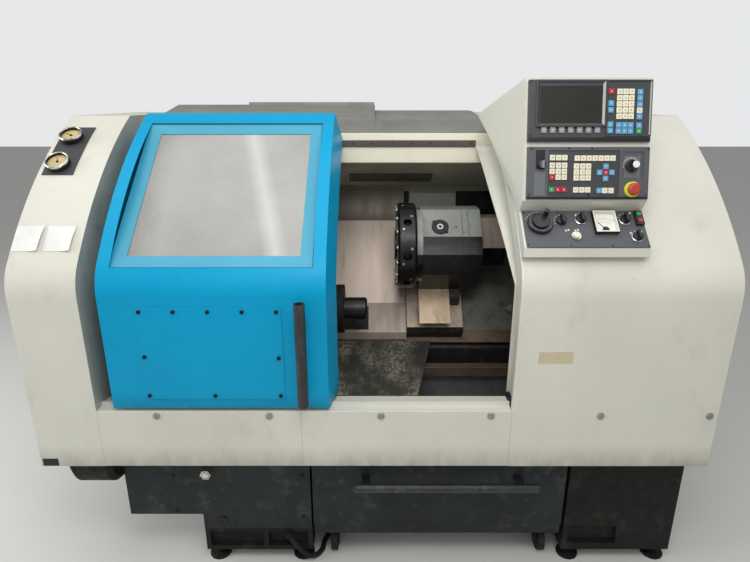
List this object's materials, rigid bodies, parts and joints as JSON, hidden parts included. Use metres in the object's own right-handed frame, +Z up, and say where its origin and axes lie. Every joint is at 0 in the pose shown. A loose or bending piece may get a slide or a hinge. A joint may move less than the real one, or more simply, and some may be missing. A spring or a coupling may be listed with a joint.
{
  "type": "cnc turning lathe",
  "caption": "Slant-bed turning machine with a curved cover, a sliding windowed door, a tool turret, a tailstock, a control pendant and a coolant tank that rolls out.",
  "frame": {"origin": "on the floor at the centre of the footprint of the machine's bounding box", "axes": "+X along the spindle axis from headstock to tailstock, -Y towards the operator, +Z up"},
  "size_m": [2.3, 1.56, 1.786],
  "materials": {
    "cream_paint": "satin paint",
    "blue_paint": "satin paint",
    "dark_paint": "semi-matt paint",
    "grey_paint": "satin paint",
    "cast_iron": "machined and oiled",
    "machined_steel": "turned",
    "stainless_sheet": "mill finish",
    "black_oxide": "black oxide, oiled",
    "grey_plastic": "fine texture",
    "black_plastic": "satin",
    "rubber": "matt",
    "window_glass": "clear",
    "red_plastic": "gloss",
    "green_plastic": "gloss",
    "white_plastic": "gloss",
    "chrome_metal": "polished"
  },
  "bodies": {
    "machine": {"base_casting": "dark_paint", "bed_casting": "cast_iron", "chip_tray": "cast_iron", "console_panel": "grey_plastic", "coolant_hose": "rubber", "display_unit": "grey_plastic", "door_jamb": "cream_paint", "drive_belt": "rubber", "electrical_cabinet": "cream_paint", "front_apron_left": "cream_paint", "front_apron_right": "cream_paint", "gauge_panel": "grey_paint", "headstock_casting": "cast_iron", "headstock_guard": "grey_paint", "inner_roof": "grey_paint", "left_end_cover": "cream_paint", "operator_panel": "grey_plastic", "pendant_housing": "cream_paint", "plinth_panel": "dark_paint", "rear_cover": "cream_paint", "right_enclosure": "cream_paint", "roof_plate_left": "stainless_sheet", "roof_plate_right": "stainless_sheet", "spindle_motor": "dark_paint", "top_beam": "cream_paint"},
    "carriage": {"saddle": "cast_iron", "way_cover": "stainless_sheet"},
    "cross_slide": {"cross_slide": "cast_iron", "turret_housing": "grey_paint"},
    "turret": {"turret_disc": "machined_steel"},
    "spindle": {"spindle": "black_oxide"},
    "motor_shaft": {"motor_pulley": "cast_iron"},
    "tailstock": {"tailstock": "cast_iron"},
    "quill": {"tailstock_quill": "machined_steel"},
    "live_centre": {"live_centre": "machined_steel"},
    "door": {"door_shell": "blue_paint", "door_access_panel": "blue_paint", "window_frame": "blue_paint", "window_pane": "window_glass", "door_handle": "black_plastic"},
    "tank": {"tank_drawer": "dark_paint"},
    "castor_left": {"castor_wheel_left": "rubber"},
    "castor_right": {"castor_wheel_right": "rubber"},
    "rear_wheels": {"rear_wheelset": "rubber"},
    "cabinet_door": {"cabinet_door": "cream_paint"},
    "handwheel": {"handwheel": "black_plastic"},
    "selector_1": {"selector_1": "black_plastic"},
    "selector_2": {"selector_2": "black_plastic"},
    "selector_3": {"selector_3": "black_plastic"},
    "selector_4": {"selector_4": "black_plastic"},
    "override_knob": {"override_knob": "black_plastic"},
    "key_switch": {"key_switch": "chrome_metal"},
    "estop_button": {"estop_button": "red_plastic"},
    "white_button": {"white_button": "white_plastic"},
    "green_button": {"green_button": "green_plastic"},
    "red_button": {"red_button": "red_plastic"},
    "meter_needle": {"meter_needle": "black_plastic"},
    "gauge_needle_1": {"gauge_needle_1": "black_plastic"},
    "gauge_needle_2": {"gauge_needle_2": "black_plastic"},
    "isolator_handle": {"isolator_handle": "black_plastic"}
  },
  "joints": [
    {"name": "carriage_slide", "type": "slide", "parent": "machine", "child": "carriage", "axis": [1, 0, 0], "range_m": [-0.1, 0.16]},
    {"name": "cross_slide_feed", "type": "slide", "parent": "carriage", "child": "cross_slide", "axis": [0, 0.7071, 0.7071], "range_m": [-0.1, 0.05]},
    {"name": "turret_index", "type": "hinge", "parent": "cross_slide", "child": "turret", "pos_m": [0, -0.07635, 1.14365], "axis": [1, 0, 0], "continuous": true},
    {"name": "spindle_turn", "type": "hinge", "parent": "machine", "child": "spindle", "pos_m": [0, -0.28, 0.94], "axis": [1, 0, 0], "continuous": true},
    {"name": "motor_turn", "type": "hinge", "parent": "machine", "child": "motor_shaft", "pos_m": [0, -0.555, 0.505], "axis": [1, 0, 0], "continuous": true},
    {"name": "tailstock_slide", "type": "slide", "parent": "machine", "child": "tailstock", "axis": [1, 0, 0], "range_m": [-0.05, 0.12]},
    {"name": "quill_slide", "type": "slide", "parent": "tailstock", "child": "quill", "axis": [1, 0, 0], "range_m": [-0.06, 0]},
    {"name": "live_centre_turn", "type": "hinge", "parent": "quill", "child": "live_centre", "pos_m": [0, -0.28, 0.94], "axis": [1, 0, 0], "continuous": true},
    {"name": "door_slide", "type": "slide", "parent": "machine", "child": "door", "axis": [1, 0, 0], "range_m": [0, 0.6]},
    {"name": "tank_slide", "type": "slide", "parent": "machine", "child": "tank", "axis": [0, -1, 0], "range_m": [0, 0.6]},
    {"name": "castor_left_roll", "type": "hinge", "parent": "tank", "child": "castor_left", "pos_m": [-0.16, -0.517, 0.051], "axis": [1, 0, 0], "range_deg": [-10, 700]},
    {"name": "castor_right_roll", "type": "hinge", "parent": "tank", "child": "castor_right", "pos_m": [0.657, -0.517, 0.051], "axis": [1, 0, 0], "range_deg": [-10, 700]},
    {"name": "rear_wheels_roll", "type": "hinge", "parent": "tank", "child": "rear_wheels", "pos_m": [0, 0.24, 0.051], "axis": [1, 0, 0], "range_deg": [-10, 700]},
    {"name": "handwheel_turn", "type": "hinge", "parent": "machine", "child": "handwheel", "pos_m": [0.5152, -0.62202, 1.35163], "axis": [0, -0.6759, 0.737], "continuous": true},
    {"name": "selector_1_turn", "type": "hinge", "parent": "machine", "child": "selector_1", "pos_m": [0.584, -0.6134, 1.35954], "axis": [0, -0.6759, 0.737], "range_deg": [-90, 90]},
    {"name": "selector_2_turn", "type": "hinge", "parent": "machine", "child": "selector_2", "pos_m": [0.6461, -0.60905, 1.36353], "axis": [0, -0.6759, 0.737], "range_deg": [-60, 60]},
    {"name": "selector_3_turn", "type": "hinge", "parent": "machine", "child": "selector_3", "pos_m": [0.784, -0.61053, 1.36218], "axis": [0, -0.6759, 0.737], "range_deg": [-45, 45]},
    {"name": "selector_4_turn", "type": "hinge", "parent": "machine", "child": "selector_4", "pos_m": [0.8094, -0.65747, 1.31912], "axis": [0, -0.6759, 0.737], "range_deg": [-45, 45]},
    {"name": "override_turn", "type": "hinge", "parent": "machine", "child": "override_knob", "pos_m": [0.786, -0.59747, 1.5281], "axis": [0, -0.9764, 0.2158], "range_deg": [-135, 135]},
    {"name": "key_turn", "type": "hinge", "parent": "machine", "child": "key_switch", "pos_m": [0.5093, -0.59967, 1.53207], "axis": [0, -0.9764, 0.2158], "range_deg": [-90, 0]},
    {"name": "estop_press", "type": "slide", "parent": "machine", "child": "estop_button", "axis": [0, 0.9764, -0.2158], "range_m": [0, 0.004]},
    {"name": "white_press", "type": "slide", "parent": "machine", "child": "white_button", "axis": [0, 0.6759, -0.737], "range_m": [0, 0.003], "stiffness_N_per_m": 300},
    {"name": "green_press", "type": "slide", "parent": "machine", "child": "green_button", "axis": [0, 0.6759, -0.737], "range_m": [0, 0.003], "stiffness_N_per_m": 300},
    {"name": "red_press", "type": "slide", "parent": "machine", "child": "red_button", "axis": [0, 0.6759, -0.737], "range_m": [0, 0.003], "stiffness_N_per_m": 300},
    {"name": "meter_swing", "type": "hinge", "parent": "machine", "child": "meter_needle", "pos_m": [0.717, -0.64079, 1.33985], "axis": [0, -0.6759, 0.737], "range_deg": [-80, 0]},
    {"name": "gauge_1_swing", "type": "hinge", "parent": "machine", "child": "gauge_needle_1", "pos_m": [-1.089, -0.2732, 1.60016], "axis": [0, -0.5314, 0.8471], "range_deg": [-195, 75]},
    {"name": "gauge_2_swing", "type": "hinge", "parent": "machine", "child": "gauge_needle_2", "pos_m": [-1.089, -0.39026, 1.51933], "axis": [0, -0.6039, 0.7971], "range_deg": [-155, 115]},
    {"name": "cabinet_hinge", "type": "hinge", "parent": "machine", "child": "cabinet_door", "pos_m": [-0.1, 0.7597, 0], "axis": [0, 0, 1], "range_deg": [0, 110]},
    {"name": "isolator_turn", "type": "hinge", "parent": "cabinet_door", "child": "isolator_handle", "pos_m": [0.62, 0.76, 1.38], "axis": [0, 1, 0], "range_deg": [-90, 0]}
  ],
  "couplings": [
    {"joint": "motor_turn", "follows": "spindle_turn", "ratio": 1.8},
    {"joint": "castor_left_roll", "follows": "tank_slide", "rad_per_m": 20},
    {"joint": "castor_right_roll", "follows": "tank_slide", "rad_per_m": 20},
    {"joint": "rear_wheels_roll", "follows": "tank_slide", "rad_per_m": 20}
  ]
}
